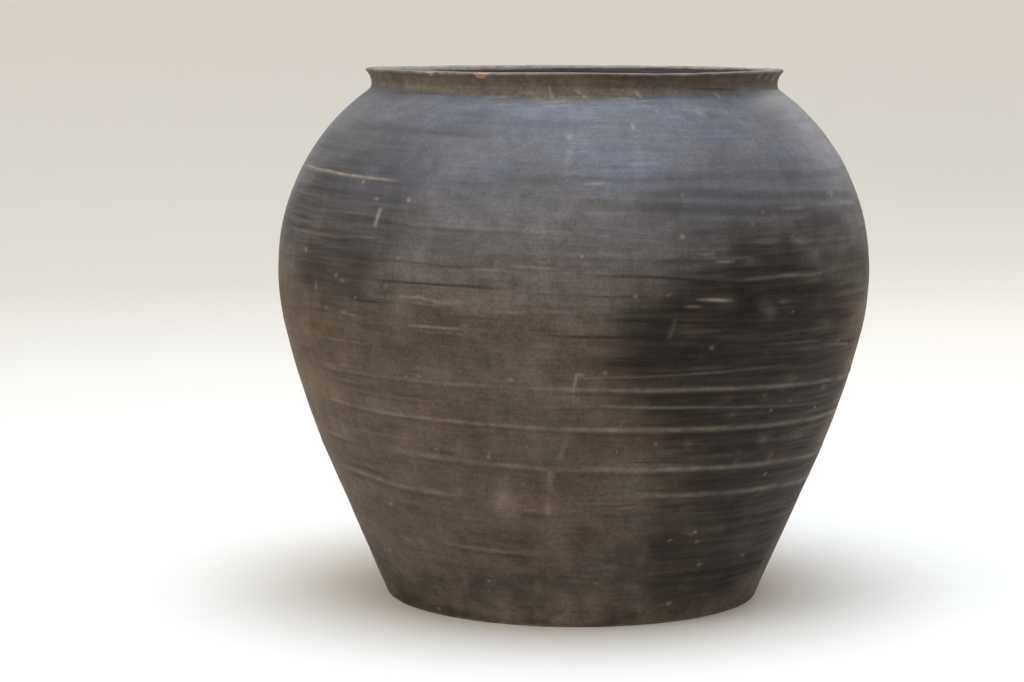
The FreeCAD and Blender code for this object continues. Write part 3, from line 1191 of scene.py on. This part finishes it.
def clay_roughness(t):
    rough = t.span(t.slate, 0.0, 1.0, BODY_ROUGHNESS, SLATE_ROUGHNESS)
    rough = t.math("ADD", rough, t.noise_span("streaks", 0.3, 0.7, -0.06, 0.06))
    rough = t.math("MULTIPLY_ADD", t.collar, 0.18, rough)
    return t.math("MULTIPLY_ADD", t.pale, 0.15, rough, clamp=True)


def clay_bump(t):
    height = 0.0
    for name, lift in LIFTS.items():
        height = t.math("MULTIPLY_ADD", t.noises[name], lift, height)
    bump = t.node("ShaderNodeBump")
    t.feed(bump.inputs["Strength"], BUMP_STRENGTH)
    t.feed(bump.inputs["Distance"], BUMP_DEPTH)
    t.feed(bump.inputs["Height"], t.product(height, t.unevenness))
    return bump.outputs[0]


def clay_material():
    material = bpy.data.materials.new("smoked_clay")
    t = Clay(material)
    shader = t.node("ShaderNodeBsdfPrincipled")
    t.feed(shader.inputs["Base Color"], marked(t, toned(t, ground_colour(t), clay_tone(t))))
    t.feed(shader.inputs["Roughness"], clay_roughness(t))
    t.feed(shader.inputs["Normal"], clay_bump(t))
    t.feed(shader.inputs["Specular IOR Level"], SPECULAR_LEVEL)
    out = t.node("ShaderNodeOutputMaterial")
    t.feed(out.inputs["Surface"], shader.outputs[0])
    return material


# ---------------------------------------------------------------- studio

STUDIO_PAINT = (0.78, 0.755, 0.715, 1.0)
STUDIO_AIR = (1.0, 0.955, 0.895, 1.0)
STUDIO_FLAT = 2.6
STUDIO_BEND = 3.2
STUDIO_TOP = 4.4
STUDIO_SIDES = 96
BEND_STEPS = 17


def bowl_mesh():
    turn = np.linspace(-math.pi / 2, 0.0, BEND_STEPS)[1:]
    wall = STUDIO_FLAT + STUDIO_BEND
    radii = [0.0, 0.5, 1.2, STUDIO_FLAT] + list(STUDIO_FLAT + STUDIO_BEND * np.cos(turn)) + [wall]
    heights = [0.0, 0.0, 0.0, 0.0] + list(STUDIO_BEND + STUDIO_BEND * np.sin(turn)) + [STUDIO_TOP]
    sides = STUDIO_SIDES
    points = [(0.0, 0.0, 0.0)]
    for radius, height in zip(radii[1:], heights[1:]):
        for step in range(sides):
            angle = math.tau * step / sides
            points.append((radius * math.cos(angle), radius * math.sin(angle), height))
    faces = [(0, 1 + step, 1 + (step + 1) % sides) for step in range(sides)]
    for ring in range(len(radii) - 2):
        start = 1 + ring * sides
        for step in range(sides):
            after = (step + 1) % sides
            faces.append((start + step, start + sides + step, start + sides + after, start + after))
    mesh = bpy.data.meshes.new("studio_floor")
    mesh.from_pydata(points, [], faces)
    mesh.shade_smooth()
    return mesh


def studio_paint():
    material = bpy.data.materials.new("studio_paint")
    t = Tree(material)
    shader = t.node("ShaderNodeBsdfPrincipled")
    t.feed(shader.inputs["Base Color"], STUDIO_PAINT)
    t.feed(shader.inputs["Roughness"], 0.9)
    t.feed(shader.inputs["Specular IOR Level"], 0.1)
    out = t.node("ShaderNodeOutputMaterial")
    t.feed(out.inputs["Surface"], shader.outputs[0])
    return material


def studio_bowl():
    """A pale floor that curves up into a wall all round, far enough out for any camera."""
    mesh = bowl_mesh()
    mesh.materials.append(studio_paint())
    bowl = bpy.data.objects.new("studio_floor", mesh)
    bpy.context.scene.collection.objects.link(bowl)


def soft_light(name, place, aim, size, power, colour):
    light = bpy.data.lights.new(name, "AREA")
    light.shape = "DISK"
    light.size = size
    light.energy = power
    light.color = colour
    lamp = bpy.data.objects.new(name, light)
    lamp.location = place
    lamp.visible_camera = False
    lamp.rotation_mode = "QUATERNION"
    lamp.rotation_quaternion = (Vector(aim) - Vector(place)).to_track_quat("-Z", "Y")
    bpy.context.scene.collection.objects.link(lamp)


def studio_lights():
    middle = (0.0, 0.0, 0.5 * HEIGHT)
    soft_light("sky_panel", (0.1, -0.2, 2.6), middle, 2.2, 70.0, (0.68, 0.82, 1.0))
    soft_light("side_panel", (-2.2, -1.6, 1.3), middle, 1.6, 24.0, (1.0, 0.91, 0.78))
    soft_light("back_panel", (1.4, 2.3, 1.5), middle, 1.4, 9.0, (1.0, 0.98, 0.94))
    world = bpy.data.worlds.new("studio_air")
    bpy.context.scene.world = world
    world.use_nodes = True
    air = world.node_tree.nodes["Background"]
    air.inputs["Color"].default_value = STUDIO_AIR
    air.inputs["Strength"].default_value = 0.85


# ---------------------------------------------------------------- camera

CAMERA_AWAY = 9.328 * BELLY_RADIUS
CAMERA_HEIGHT = 1.967 * BELLY_RADIUS
CAMERA_LENS = 96.7
CAMERA_SENSOR = 36.0
CAMERA_DOWN = math.radians(6.81)
CAMERA_LEFT = math.radians(1.27)
CAMERA_ROLL = math.radians(0.2)


def make_camera():
    camera = bpy.data.objects.new("camera", bpy.data.cameras.new("camera"))
    camera.data.sensor_width = CAMERA_SENSOR
    camera.data.lens = CAMERA_LENS
    turn = Matrix.Rotation(CAMERA_LEFT, 4, "Z")
    tip = Matrix.Rotation(math.pi / 2 - CAMERA_DOWN, 4, "X")
    roll = Matrix.Rotation(CAMERA_ROLL, 4, "Z")
    stand = Matrix.Translation((0.0, -CAMERA_AWAY, CAMERA_HEIGHT))
    camera.matrix_world = stand @ turn @ tip @ roll
    bpy.context.scene.collection.objects.link(camera)
    bpy.context.scene.camera = camera


bpy.context.scene.view_settings.view_transform = "Standard"
make_camera()
studio_bowl()
studio_lights()
make_pieces(clay_material())
